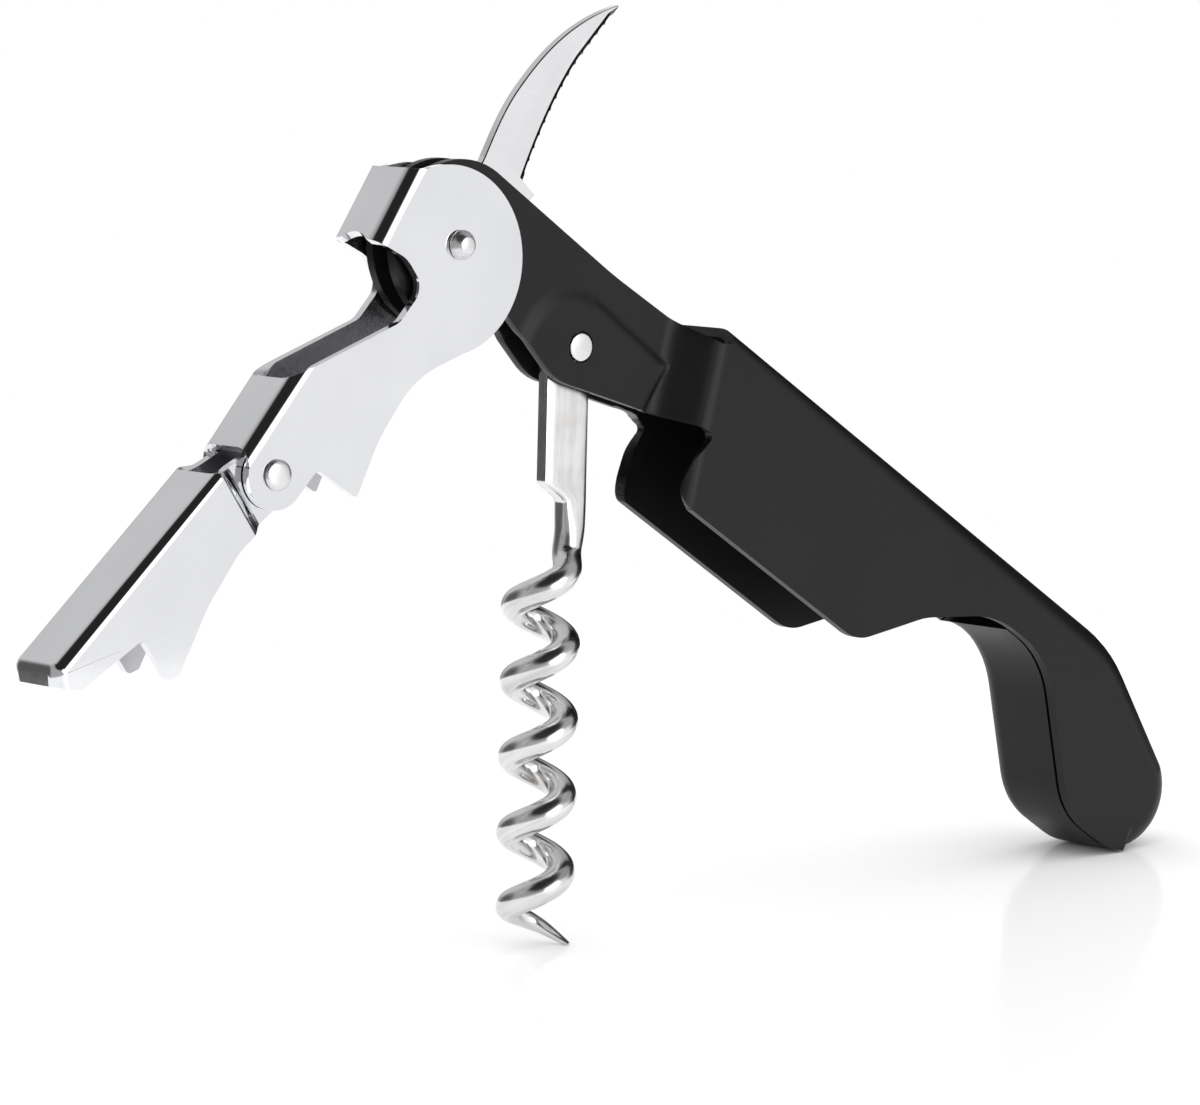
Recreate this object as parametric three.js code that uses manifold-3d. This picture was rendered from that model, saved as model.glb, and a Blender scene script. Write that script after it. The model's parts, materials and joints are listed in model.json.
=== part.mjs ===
// Waiter's corkscrew with a two-step lever, standing open on the tip of its worm and on its tail.
// Millimetres, +Z up. Every hinge turns about Y. Each piece is drawn in a frame of its own, with x
// running away from the pivot it turns on and z across, and is then turned into the open pose.
import * as THREE from 'three';
import { mergeVertices } from 'three/addons/utils/BufferGeometryUtils.js';
import Module from 'manifold-3d';

const wasm = await Module();
wasm.setup();

// Angles of the open pose, in degrees above +X
const HANDLE_ANGLE = -35.4;
const UPPER_LEVER_ANGLE = 221.5;
const LOWER_LEVER_ANGLE = 211.5;
const WORM_ANGLE = -93.3;
const BLADE_ANGLE = 45;

// Pivots
const HEAD_TO_WORM_PIVOT = 19;
const HEAD_TO_LEVER_HINGE = 30;
const PIN_RADIUS = 1.25;
const PIN_CLEARANCE = 0.1;
const RIVET_HEAD_LIP = 0.25;
const WASHER_THICKNESS = 0.4;
const BLADE_WASHER_RADIUS = 3.5;
const LEVER_WASHER_RADIUS = 4.2;
const WORM_WASHER_RADIUS = 2.4;
const FLOAT_GAP = 0.1;

// Handle, one folded steel sheet
const HANDLE_SHEET = 1.0;
const GRIP_WIDTH = 11.3;
const HEAD_INSET = 1.0;
const HEAD_SHIFT = 1.0;
const HEAD_RISE = 0.6;
const NECK_TOP = 8.3;
const NECK_DROP = 4.3;
const SPINE_HEIGHT = 10.6;
const GRIP_DROP = 7.2;
const PIVOT_TO_SPINE = 14;
const JOGGLE_LENGTH = 6;
const JOGGLE_SLANT = -0.33;
const HANDLE_REACH = 114;
const BELLY_TO_END = 49.7;
const HOOK_TO_END = 34;
const HOOK_HEIGHT = 4.5;
const TAIL_RADIUS = 6.4;
const TAIL_DROP = 1.3;
const PAD_RISE = 0.4;
const PAD_RADIUS = 6.1;
const PAD_REACH = 10.5;

// Levers, two pressed steel channels
const LEVER_SHEET = 0.9;
const DISC_RADIUS = 9.1;
const DISC_SHIFT = 2.1;
const LUG_RADIUS = 3.3;
const EAR_RADIUS = 3.0;
const EAR_GAP = 0.15;
const EAR_STEP_LENGTH = 1.9;
const UPPER_SPINE_RISE = 4.3;
const LOWER_LEVER_LENGTH = 30.6;
const CAP_ARCH_DEPTH = 0.95;
const STEP_TOOTH_HEIGHT = 8.4;

// Worm
const SHANK_WIDTH = 5.2;
const SHANK_THICKNESS = 1.7;
const SHANK_LENGTH = 12.8;
const WIRE_RADIUS = 1.42;
const COIL_RADIUS = 2.49;
const COIL_PITCH = 7.43;
const COIL_TURNS = 5.18;
const COIL_SET_BACK = 1.9;
const COIL_SIDE_SHIFT = 0.4;
const COIL_LEAD_IN = 7.5;
const COIL_START_ANGLE = 345; // where round the coil the neck comes in
const COIL_FIRST_SIDE = 12.6; // from the shank's end to where the coil first swings out sideways

// Foil knife
const BLADE_THICKNESS = 1.0;
const BLADE_LENGTH = 31.5;
const BLADE_BOSS_RADIUS = 5.2;
const SERRATIONS = 13;
const SERRATION_DEPTH = 0.25;

// Worked out from the sizes above
const HEAD_RADIUS = DISC_RADIUS - HEAD_INSET;
const STACK_LAYER = WASHER_THICKNESS + 2 * FLOAT_GAP;
const NECK_INNER = BLADE_THICKNESS / 2 + STACK_LAYER;
const NECK_HALF = NECK_INNER + HANDLE_SHEET;
const GRIP_HALF = GRIP_WIDTH / 2;
const LEVER_INNER = NECK_HALF + STACK_LAYER;
const LEVER_HALF = LEVER_INNER + LEVER_SHEET;
const EAR_HALF = LEVER_INNER - EAR_GAP;
const HOLE_RADIUS = PIN_RADIUS + PIN_CLEARANCE;
const RIVET_HEAD_RADIUS = PIN_RADIUS + RIVET_HEAD_LIP;
const SPINE_START = HEAD_TO_WORM_PIVOT + PIVOT_TO_SPINE;
const TAIL_CENTRE = HANDLE_REACH - TAIL_RADIUS;
const BELLY_END = HANDLE_REACH - BELLY_TO_END;
const HOOK_START = HANDLE_REACH - HOOK_TO_END;
const HOOK_END = HOOK_START + 9;
const FAR = 60;
const RAD = Math.PI / 180;

// ---------------------------------------------------------------- helpers

function arc(cx, cy, radius, fromDeg, toDeg, stepDeg = 10) {
  const count = Math.max(2, Math.ceil(Math.abs(toDeg - fromDeg) / stepDeg));
  const points = [];
  for (let i = 0; i <= count; i++) {
    const a = (fromDeg + (toDeg - fromDeg) * i / count) * RAD;
    points.push([cx + radius * Math.cos(a), cy + radius * Math.sin(a)]);
  }
  return points;
}

// Corners [x, z, radius] to a closed outline, each corner rounded by its radius
function outline(corners) {
  const points = [];
  corners.forEach(([x, y, radius = 0], i) => {
    const here = new THREE.Vector2(x, y);
    if (radius === 0) {
      points.push(here);
      return;
    }
    const [px, py] = corners[(i + corners.length - 1) % corners.length];
    const [nx, ny] = corners[(i + 1) % corners.length];
    const back = new THREE.Vector2(px - x, py - y);
    const ahead = new THREE.Vector2(nx - x, ny - y);
    const room = 0.49 * Math.min(back.length(), ahead.length());
    back.normalize();
    ahead.normalize();
    const half = Math.acos(THREE.MathUtils.clamp(back.dot(ahead), -1, 1)) / 2;
    const reach = Math.min(radius / Math.tan(half), room);
    const r = reach * Math.tan(half);
    const middle = back.clone().add(ahead).normalize();
    const centre = here.clone().addScaledVector(middle, r / Math.sin(half));
    const start = here.clone().addScaledVector(back, reach).sub(centre);
    const end = here.clone().addScaledVector(ahead, reach).sub(centre);
    const sweep = Math.atan2(start.x * end.y - start.y * end.x, start.dot(end));
    const count = Math.max(1, Math.ceil(Math.abs(sweep) / (14 * RAD)));
    for (let k = 0; k <= count; k++) {
      points.push(start.clone().rotateAround(new THREE.Vector2(), sweep * k / count).add(centre));
    }
  });
  return points;
}

function toSolid(geometry) {
  geometry.deleteAttribute('normal');
  geometry.deleteAttribute('uv');
  const merged = mergeVertices(geometry, 1e-5);
  return new wasm.Manifold(new wasm.Mesh({
    numProp: 3,
    vertProperties: new Float32Array(merged.attributes.position.array),
    triVerts: new Uint32Array(merged.index.array),
  }));
}

// A side outline (x, z) made solid between two values of y
function sideSolid(points, yMin, yMax) {
  const shape = new THREE.Shape(points);
  const geometry = new THREE.ExtrudeGeometry(shape, { depth: yMax - yMin, bevelEnabled: false });
  geometry.rotateX(Math.PI / 2);
  geometry.translate(0, yMax, 0);
  return toSolid(geometry);
}

// A plan outline (x, y) made solid over a tall range of z, leaning by slant in x per unit of z
function planSolid(points, slant = 0) {
  const shape = new THREE.Shape(points);
  const geometry = new THREE.ExtrudeGeometry(shape, { depth: 2 * FAR, bevelEnabled: false });
  geometry.translate(0, 0, -FAR);
  const lean = new THREE.Matrix4().set(1, 0, slant, 0, 0, 1, 0, 0, 0, 0, 1, 0, 0, 0, 0, 1);
  geometry.applyMatrix4(lean);
  return toSolid(geometry);
}

function circle(x, z, radius) {
  return arc(x, z, radius, 0, 360, 12).slice(0, -1).map(([px, pz]) => new THREE.Vector2(px, pz));
}

function everywhere(yMin, yMax) {
  const corners = [[-FAR, -FAR], [2 * FAR, -FAR], [2 * FAR, FAR], [-FAR, FAR]];
  return sideSolid(outline(corners), yMin, yMax);
}

// A straight strip on the +z side of the line from a to b, set in a little from the line and its ends
function strip([ax, az], [bx, bz], thickness) {
  const length = Math.hypot(bx - ax, bz - az);
  const along = [(bx - ax) / length, (bz - az) / length];
  const at = (s, n) => [ax + along[0] * s - along[1] * n, az + along[1] * s + along[0] * n];
  const inset = 0.03;
  const end = length - 0.3;
  return outline([at(0.3, inset), at(end, inset), at(end, thickness), at(0.3, thickness)]);
}

// Plan of a piece whose half width changes in an S between two values of x
function steppedPlan(halfA, halfB, stepStart, stepLength, xMin, xMax) {
  const side = [[xMin, halfA]];
  const count = 8;
  for (let i = 0; i <= count; i++) {
    const t = i / count;
    const s = (1 - Math.cos(Math.PI * t)) / 2;
    side.push([stepStart + stepLength * t, halfA + (halfB - halfA) * s]);
  }
  side.push([xMax, halfB]);
  const mirrored = side.map(([x, y]) => [x, -y]).reverse();
  return [...mirrored, ...side].map(([x, y]) => new THREE.Vector2(x, y));
}

function finish(name, solid, colour, roughness, metalness) {
  const mesh = solid.getMesh();
  const geometry = new THREE.BufferGeometry();
  geometry.setAttribute('position', new THREE.BufferAttribute(mesh.vertProperties, 3));
  geometry.setIndex(new THREE.BufferAttribute(mesh.triVerts, 1));
  const material = new THREE.MeshStandardMaterial({ color: colour, roughness, metalness });
  const result = new THREE.Mesh(geometry, material);
  result.name = name;
  return result;
}

// A round piece on the Y axis from [radius, y] pairs, closed on the axis
function turned(profile) {
  const closed = profile[0][0] === 0 ? profile : [...profile, profile[0]];
  const points = closed.map(([r, y]) => new THREE.Vector2(r, y));
  return toSolid(new THREE.LatheGeometry(points, 30));
}

function rivet(name, reach, headHeight, headRadius, crownRadius) {
  const shell = [
    [0, -reach - headHeight], [crownRadius, -reach - headHeight], [headRadius, -reach - headHeight / 3],
    [headRadius, -reach], [PIN_RADIUS, -reach], [PIN_RADIUS, reach], [headRadius, reach],
    [headRadius, reach + headHeight / 3], [crownRadius, reach + headHeight], [0, reach + headHeight],
  ];
  return finish(name, turned(shell), 0xc9cacd, 0.35, 0.9);
}

// A pair of washers either side of the middle plane
function addWashers(parent, name, yMin, yMax, radius) {
  [['near', -yMax, -yMin], ['far', yMin, yMax]].forEach(([side, from, to]) => {
    const ring = [[HOLE_RADIUS, from], [radius, from], [radius, to], [HOLE_RADIUS, to]];
    parent.add(finish(`${name}_${side}`, turned(ring), 0xb9a26a, 0.4, 0.9));
  });
}

// ---------------------------------------------------------------- handle

function handleOutline() {
  const pivot = HEAD_TO_WORM_PIVOT;
  return outline([
    ...arc(HEAD_SHIFT, HEAD_RISE, HEAD_RADIUS, 90, 339),
    [pivot - 9, -2.1, 2],
    [pivot - 1, -NECK_DROP, 6],
    [SPINE_START + 1.3, 0.35, 1.2],
    [SPINE_START + 3.2, 0.35, 0.6],
    [SPINE_START + 2.5, -2.8, 4],
    [SPINE_START + 2.8, -GRIP_DROP, 4],
    [BELLY_END, -GRIP_DROP, 4.5],
    [BELLY_END + 7, -0.6, 9],
    [HOOK_START, HOOK_HEIGHT, 12],
    [HOOK_END, HOOK_HEIGHT, 10],
    [TAIL_CENTRE - 6.6, -TAIL_DROP - TAIL_RADIUS, 9],
    ...arc(TAIL_CENTRE, -TAIL_DROP, TAIL_RADIUS, 270, 415),
    [TAIL_CENTRE - 10, SPINE_HEIGHT, 16],
    [SPINE_START, SPINE_HEIGHT, 0.4],
    [SPINE_START, NECK_TOP + 0.2, 0.5],
    [HEAD_TO_WORM_PIVOT, NECK_TOP - 0.2, 30],
  ]);
}

// Hollow seen from the side: right through the neck, under the spine in the grip and the tail
function handleHollow() {
  const sheet = HANDLE_SHEET;
  return outline([
    [-FAR, -FAR], [HOOK_START - 1, -FAR], [HOOK_START - 1, HOOK_HEIGHT + sheet, 1],
    [HOOK_END, HOOK_HEIGHT + sheet, 10],
    [TAIL_CENTRE - 6.2, -TAIL_DROP - TAIL_RADIUS + sheet, 9],
    ...arc(TAIL_CENTRE, -TAIL_DROP, TAIL_RADIUS - sheet, 270, 415),
    [TAIL_CENTRE - 10.4, SPINE_HEIGHT - sheet, 15],
    [SPINE_START - 2, SPINE_HEIGHT - sheet], [SPINE_START - 2, FAR], [-FAR, FAR],
  ]);
}

// Raised pad round the worm's pivot, running on into the grip
function padOutline() {
  const x = HEAD_TO_WORM_PIVOT;
  return outline([
    ...arc(x - 0.4, -1.4, PAD_RADIUS, 90, 200),
    [x - PAD_RADIUS, -NECK_DROP - 4],
    [x + PAD_REACH, -NECK_DROP - 4],
    [x + PAD_REACH, 4.1, 0.6],
  ]);
}

function handlePlan(inset, rise) {
  const half = NECK_HALF - inset + rise;
  const start = SPINE_START - JOGGLE_LENGTH + 2.7;
  return planSolid(steppedPlan(half, GRIP_HALF - inset, start, JOGGLE_LENGTH, -30, 150), JOGGLE_SLANT);
}

function handleShell() {
  const side = sideSolid(handleOutline(), -GRIP_HALF, GRIP_HALF);
  const pad = sideSolid(padOutline(), -GRIP_HALF, GRIP_HALF);
  const outer = handlePlan(0, 0).add(handlePlan(0, PAD_RISE).intersect(pad));
  const inner = handlePlan(HANDLE_SHEET, 0).add(handlePlan(HANDLE_SHEET, PAD_RISE).intersect(pad));
  const hollow = inner.intersect(sideSolid(handleHollow(), -GRIP_HALF, GRIP_HALF));
  const headHole = sideSolid(circle(0, 0, HOLE_RADIUS), -GRIP_HALF, GRIP_HALF);
  const wormHole = sideSolid(circle(HEAD_TO_WORM_PIVOT, 0, HOLE_RADIUS), -GRIP_HALF, GRIP_HALF);
  const shell = side.intersect(outer).subtract(hollow).subtract(headHole).subtract(wormHole);
  return finish('handle_shell', shell, 0x1d1d1f, 0.55, 0.2);
}

// ---------------------------------------------------------------- levers

const HEAD_SPINE = [[-0.9, -DISC_RADIUS - 0.3], [6.8, -DISC_RADIUS + 1.5]];
const ARM_SPINE = [
  [HEAD_TO_LEVER_HINGE - 7.3, -UPPER_SPINE_RISE - 1],
  [HEAD_TO_LEVER_HINGE + 0.6, -UPPER_SPINE_RISE],
];

function upperLeverOutline() {
  const hinge = HEAD_TO_LEVER_HINGE;
  return outline([
    ...arc(DISC_SHIFT, 0, DISC_RADIUS, 58, 243),
    [HEAD_SPINE[0][0], HEAD_SPINE[0][1], 0.4],
    [HEAD_SPINE[1][0], HEAD_SPINE[1][1], 0.4],
    [5.4, -3.6, 3],
    [5.9, -0.2, 2],
    [10.2, 0.1, 2],
    [ARM_SPINE[0][0], ARM_SPINE[0][1], 0.4],
    [ARM_SPINE[1][0], ARM_SPINE[1][1], 0.4],
    ...arc(hinge, 0, LUG_RADIUS, -60, 90, 12),
    [hinge - 3.6, 3.1, 0.6],
    [hinge - 4.9, STEP_TOOTH_HEIGHT, 0.3],
    [hinge - 10.5, 6.3, 12],
    [12.6, 5.2, 14],
  ]);
}

// Cutter for the arch in the lower edge of the head spine, whose two corners hook a crown cap
function capArch() {
  const [[backX, backZ], [lipX, lipZ]] = HEAD_SPINE;
  const lean = -(lipZ - backZ) / (lipX - backX);
  const radius = (LEVER_INNER ** 2 + CAP_ARCH_DEPTH ** 2) / (2 * CAP_ARCH_DEPTH);
  const centre = lipX - lean * lipZ + radius - CAP_ARCH_DEPTH;
  const rim = arc(centre, 0, radius, 0, 356, 4).map(([x, y]) => new THREE.Vector2(x, y));
  return planSolid(rim, lean);
}

function upperLever() {
  const hinge = HEAD_TO_LEVER_HINGE;
  const plates = sideSolid(upperLeverOutline(), -LEVER_HALF, LEVER_HALF);
  const between = everywhere(-LEVER_INNER, LEVER_INNER);
  const headSpine = strip(...HEAD_SPINE, LEVER_SHEET);
  const armSpine = strip(...ARM_SPINE, LEVER_SHEET);
  const inset = LEVER_HALF - 0.02;
  const lever = plates.subtract(between)
    .add(sideSolid(headSpine, -inset, inset).subtract(capArch()))
    .add(sideSolid(armSpine, -inset, inset))
    .subtract(sideSolid(circle(0, 0, HOLE_RADIUS), -LEVER_HALF - 1, LEVER_HALF + 1))
    .subtract(sideSolid(circle(hinge, 0, HOLE_RADIUS), -LEVER_HALF - 1, LEVER_HALF + 1));
  return finish('upper_lever', lever, 0xd4d5da, 0.12, 1);
}

function lowerLeverOutline() {
  const tip = LOWER_LEVER_LENGTH;
  return outline([
    ...arc(0, 0, EAR_RADIUS, 90, 270, 12),
    [3.9, -3.5, 0.4],
    [5.5, -4.2, 0.3],
    [tip - 0.9, -0.43, 1],
    [tip, 1.2, 0.8],
    [tip - 2.0, 3.1, 1.2],
    [20.6, 3.4, 0.8],
    [20.5, STEP_TOOTH_HEIGHT, 0.6],
    [19.2, STEP_TOOTH_HEIGHT + 0.3, 0.3],
    [13.2, 5.4, 10],
    [7.5, 3.4, 6],
    [3.9, 3.1, 0.5],
  ]);
}

function lowerLever() {
  const stepStart = LUG_RADIUS + 0.1;
  const side = sideSolid(lowerLeverOutline(), -LEVER_HALF, LEVER_HALF);
  const outer = planSolid(steppedPlan(EAR_HALF, LEVER_HALF, stepStart, EAR_STEP_LENGTH, -FAR, FAR));
  const inner = planSolid(steppedPlan(EAR_HALF - LEVER_SHEET, LEVER_INNER, stepStart, EAR_STEP_LENGTH,
    -FAR, LOWER_LEVER_LENGTH - 1.1));
  const spine = strip([5.5, -4.2], [LOWER_LEVER_LENGTH - 0.9, -0.43], LEVER_SHEET);
  const lever = side.intersect(outer).subtract(inner)
    .add(sideSolid(spine, -LEVER_HALF + 0.02, LEVER_HALF - 0.02))
    .subtract(sideSolid(circle(0, 0, HOLE_RADIUS), -LEVER_HALF - 1, LEVER_HALF + 1));
  return finish('lower_lever', lever, 0xd4d5da, 0.12, 1);
}

// ---------------------------------------------------------------- worm

class WormPath extends THREE.Curve {
  // Runs down +x from the shank, straight at the neck, then easing into the coil
  getPoint(t) {
    const start = SHANK_LENGTH - 0.6;
    const end = SHANK_LENGTH + COIL_LEAD_IN + COIL_PITCH * COIL_TURNS;
    const x = start + (end - start) * t;
    const ease = 1.5;
    const past = x - SHANK_LENGTH - COIL_FIRST_SIDE + COIL_PITCH * (COIL_START_ANGLE - 140) / 360;
    const run = past > ease ? past : Math.max(0, past + ease) ** 2 / (4 * ease);
    const angle = (COIL_START_ANGLE - 360 * run / COIL_PITCH) * RAD;
    const blend = THREE.MathUtils.smoothstep(x, SHANK_LENGTH + 4.7, SHANK_LENGTH + 8.7);
    const neck = SHANK_WIDTH / 2 - WIRE_RADIUS;
    const coil = -COIL_SET_BACK + COIL_RADIUS * Math.cos(angle);
    const side = COIL_SIDE_SHIFT + COIL_RADIUS * Math.sin(angle);
    return new THREE.Vector3(x, side * blend, neck + (coil - neck) * blend);
  }
}

function wireSolid() {
  const path = new WormPath();
  const steps = 150;
  const section = new THREE.Shape(circle(0, 0, WIRE_RADIUS).filter((_, i) => i % 3 === 0));
  const geometry = new THREE.ExtrudeGeometry(section, { steps, extrudePath: path, bevelEnabled: false });
  const centres = path.getSpacedPoints(steps);
  const position = geometry.attributes.position;
  const point = new THREE.Vector3();
  for (let i = 0; i < position.count; i++) {
    point.fromBufferAttribute(position, i);
    const gaps = centres.map((c) => c.distanceToSquared(point));
    const k = gaps.indexOf(Math.min(...gaps));
    const root = Math.min(1, 0.6 + k / 20);
    const tip = Math.min(1, 0.12 + (steps - k) / 24);
    point.sub(centres[k]).multiplyScalar(Math.min(root, tip)).add(centres[k]);
    position.setXYZ(i, point.x, point.y, point.z);
  }
  return toSolid(geometry);
}

function worm() {
  const half = SHANK_WIDTH / 2;
  const shank = outline([
    ...arc(0, 0, half, 90, 270, 12),
    [SHANK_LENGTH, -half, 0.4],
    [SHANK_LENGTH + 2.4, half - 2 * WIRE_RADIUS - 0.3, 1.5],
    [SHANK_LENGTH + 3.4, half - 2 * WIRE_RADIUS + 0.4],
    [SHANK_LENGTH + 3.4, half - 0.4],
    [SHANK_LENGTH, half, 2],
  ]);
  const solid = sideSolid(shank, -SHANK_THICKNESS / 2, SHANK_THICKNESS / 2)
    .add(wireSolid())
    .subtract(sideSolid(circle(0, 0, HOLE_RADIUS), -2, 2));
  return finish('worm', solid, 0xb4b2b3, 0.22, 1);
}

// ---------------------------------------------------------------- foil knife

function foilKnife() {
  const length = BLADE_LENGTH;
  const edge = [];
  const from = length - 1;
  const to = 11.6;
  for (let i = 0; i <= 2 * SERRATIONS; i++) {
    const x = from + (to - from) * i / (2 * SERRATIONS);
    const rise = -0.75 - 2.5 * Math.pow((24 - Math.min(x, 24)) / 12.4, 1.6);
    edge.push([x, rise + (i % 2) * SERRATION_DEPTH]);
  }
  const blade = outline([
    ...arc(0, 0, BLADE_BOSS_RADIUS, 70, 250),
    [10, -5.7, 0.5],
    [11.1, -5.1, 0.3],
    [11.0, -3.6, 0.3],
    ...edge.reverse(),
    [length, -1.1],
    [28.2, 1.7, 12],
    [18.5, 3.75, 20],
    [9, 1.6, 6],
  ]);
  const solid = sideSolid(blade, -BLADE_THICKNESS / 2, BLADE_THICKNESS / 2)
    .subtract(sideSolid(circle(0, 0, HOLE_RADIUS), -2, 2));
  return finish('foil_knife', solid, 0xc4c4c8, 0.18, 1);
}

// ---------------------------------------------------------------- assembly

function frameAt(parent, x, z, degrees) {
  const group = new THREE.Group();
  group.position.set(x, 0, z);
  group.rotation.y = -degrees * RAD;
  parent.add(group);
  return group;
}

const tool = new THREE.Group();
const head = frameAt(tool, 0, 0, 0);
const handle = frameAt(head, 0, 0, HANDLE_ANGLE);
const upper = frameAt(head, 0, 0, UPPER_LEVER_ANGLE);
const lower = frameAt(upper, HEAD_TO_LEVER_HINGE, 0, LOWER_LEVER_ANGLE - UPPER_LEVER_ANGLE);
const wormPivot = frameAt(handle, HEAD_TO_WORM_PIVOT, 0, WORM_ANGLE - HANDLE_ANGLE);
const knife = frameAt(head, 0, 0, BLADE_ANGLE);

const padInner = NECK_INNER + PAD_RISE;

handle.add(handleShell());
head.add(rivet('head_rivet', LEVER_HALF + FLOAT_GAP, 1.1, RIVET_HEAD_RADIUS, 0.95));
const bladeRing = [BLADE_THICKNESS / 2 + FLOAT_GAP, NECK_INNER - FLOAT_GAP, BLADE_WASHER_RADIUS];
const leverRing = [NECK_HALF + FLOAT_GAP, LEVER_INNER - FLOAT_GAP, LEVER_WASHER_RADIUS];
const wormRing = [SHANK_THICKNESS / 2 + FLOAT_GAP, padInner - FLOAT_GAP, WORM_WASHER_RADIUS];
addWashers(handle, 'blade_washer', ...bladeRing);
addWashers(handle, 'lever_washer', ...leverRing);
addWashers(wormPivot, 'worm_washer', ...wormRing);
wormPivot.add(rivet('worm_rivet', NECK_HALF + PAD_RISE + FLOAT_GAP / 2, 0.1, RIVET_HEAD_RADIUS - 0.1, 1.3));
wormPivot.add(worm());
upper.add(upperLever());
lower.add(rivet('lever_rivet', LEVER_HALF + FLOAT_GAP, 0.5, RIVET_HEAD_RADIUS, 1.0));
lower.add(lowerLever());
knife.add(foilKnife());

// Stand the tool on z = 0 with its box centred on the origin
tool.updateMatrixWorld(true);
const box = new THREE.Box3().setFromObject(tool, true);
const middle = box.getCenter(new THREE.Vector3());
head.position.set(-middle.x, -middle.y, -box.min.z);

export default tool;
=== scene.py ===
"""A waiter's corkscrew, stood open on the tip of its worm and on its tail, in a white studio."""

import json
import logging
import math
from collections.abc import Callable
from dataclasses import dataclass, field
from enum import Enum

import bmesh
import bpy
from bmesh.types import BMEdge, BMesh, BMFace, BMVert
from mathutils import Matrix, Vector


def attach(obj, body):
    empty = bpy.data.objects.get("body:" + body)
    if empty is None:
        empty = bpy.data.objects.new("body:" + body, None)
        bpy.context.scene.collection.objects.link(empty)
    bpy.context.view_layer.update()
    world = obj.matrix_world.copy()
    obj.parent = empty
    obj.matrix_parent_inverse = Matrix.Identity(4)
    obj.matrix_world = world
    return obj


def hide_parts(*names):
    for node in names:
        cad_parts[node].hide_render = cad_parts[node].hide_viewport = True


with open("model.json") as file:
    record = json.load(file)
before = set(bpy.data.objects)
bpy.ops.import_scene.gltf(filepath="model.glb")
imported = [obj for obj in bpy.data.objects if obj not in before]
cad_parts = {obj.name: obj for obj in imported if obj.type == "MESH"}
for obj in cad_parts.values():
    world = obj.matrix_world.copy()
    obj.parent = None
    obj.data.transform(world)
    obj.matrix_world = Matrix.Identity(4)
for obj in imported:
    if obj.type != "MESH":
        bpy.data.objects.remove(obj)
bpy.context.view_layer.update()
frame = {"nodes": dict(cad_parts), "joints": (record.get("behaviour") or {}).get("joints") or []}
LOG = logging.getLogger("corkscrew")
MM = 0.001
Point = tuple[float, float]

# How near two places are to count as one, and how near a cut takes a vertex, in millimetres.
SAME = 1e-4
CUT_REACH = 1e-5
# The least angle of a free seam's edge, in radians.
SEAM_ANGLE = 1.2
# The radius of the holes for the rivets, and the most that the levers' edges may be bevelled,
# in millimetres. The modifier narrows a bevel that would meet another.
PIN_BORE = 1.35
LEVER_EDGE = 0.26
# What the camera aims at, back from the head rivet, in metres.
TARGET_OFFSET = (-0.019434, 0.0, 0.031695)


def pivot_of(joint: str) -> Vector:
    """Returns the place of a joint of the record, in metres."""
    return Vector(next(j["pos_m"] for j in frame["joints"] if j["name"] == joint))


def piece_frame(pivot: Vector, degrees: float) -> Matrix:
    """Gives the frame of a piece that is drawn in millimetres.

    Args:
        pivot: Where the piece's origin goes, in metres.
        degrees: How far its x axis is turned above +X, about the pivot.

    Returns:
        The matrix from the piece's millimetres to metres.
    """
    turn = Matrix.Rotation(-math.radians(degrees), 4, "Y")
    return Matrix.Translation(pivot) @ turn @ Matrix.Scale(MM, 4)


def smooth_step(value: float, start: float, end: float) -> float:
    """Returns 0 before start, 1 after end, and an S-curve between them."""
    t = min(1.0, max(0.0, (value - start) / (end - start)))
    return t * t * (3 - 2 * t)


# ------------------------------------------------------------------ outlines


class Side(Enum):
    """What the sheet does along one side of an outline."""

    OPEN = 0
    FOLD = 1
    SEAM = 2


@dataclass(frozen=True)
class Corner:
    """One corner of an outline, with the radius that rounds it and what its next side is."""

    x: float
    z: float
    radius: float = 0.0
    side: Side = Side.OPEN


def arc(
    centre: Point, radius: float, start: float, end: float, side: Side = Side.OPEN
) -> list[Corner]:
    """Makes the corners of an arc.

    Args:
        centre: Its middle, in millimetres.
        radius: Its radius.
        start: Its first angle in degrees.
        end: Its last angle in degrees.
        side: What the sheet does along it.

    Returns:
        The corners, 5 degrees apart.
    """
    count = max(2, round(abs(end - start) / 5))
    angles = [math.radians(start + (end - start) * i / count) for i in range(count + 1)]
    return [
        Corner(centre[0] + radius * math.cos(a), centre[1] + radius * math.sin(a), 0, side)
        for a in angles
    ]


def before_side(before: Corner, here: Corner) -> Side:
    """Returns the kind of the sides round a corner: folded only where both neighbours are."""
    return here.side if before.side is not Side.OPEN else before.side


def rounded(corners: list[Corner]) -> list[Corner]:
    """Rounds the corners of a closed outline.

    Args:
        corners: The outline's corners in order.

    Returns:
        The outline as plain points, each with the kind of the side that follows it.
    """
    points: list[Corner] = []
    for i, corner in enumerate(corners):
        if corner.radius == 0:
            points.append(corner)
            continue
        before, after = corners[i - 1], corners[(i + 1) % len(corners)]
        here = Vector((corner.x, corner.z))
        back = Vector((before.x, before.z)) - here
        ahead = Vector((after.x, after.z)) - here
        room = 0.49 * min(back.length, ahead.length)
        back.normalize()
        ahead.normalize()
        half = back.angle(ahead) / 2
        reach = min(corner.radius / math.tan(half), room)
        radius = reach * math.tan(half)
        centre = here + (back + ahead).normalized() * (radius / math.sin(half))
        start, end = here + back * reach - centre, here + ahead * reach - centre
        sweep = math.atan2(start.x * end.y - start.y * end.x, start.dot(end))
        count = max(1, math.ceil(abs(sweep) / math.radians(6)))
        for k in range(count + 1):
            spot = Matrix.Rotation(sweep * k / count, 2) @ start + centre
            side = corner.side if k == count else before_side(before, corner)
            points.append(Corner(spot.x, spot.y, 0, side))
    return points


# ------------------------------------------------------------------ mesh helpers


def is_vert(item: object) -> bool:
    """Tells whether a piece of a bmesh result is a vertex."""
    return isinstance(item, BMVert)


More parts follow.
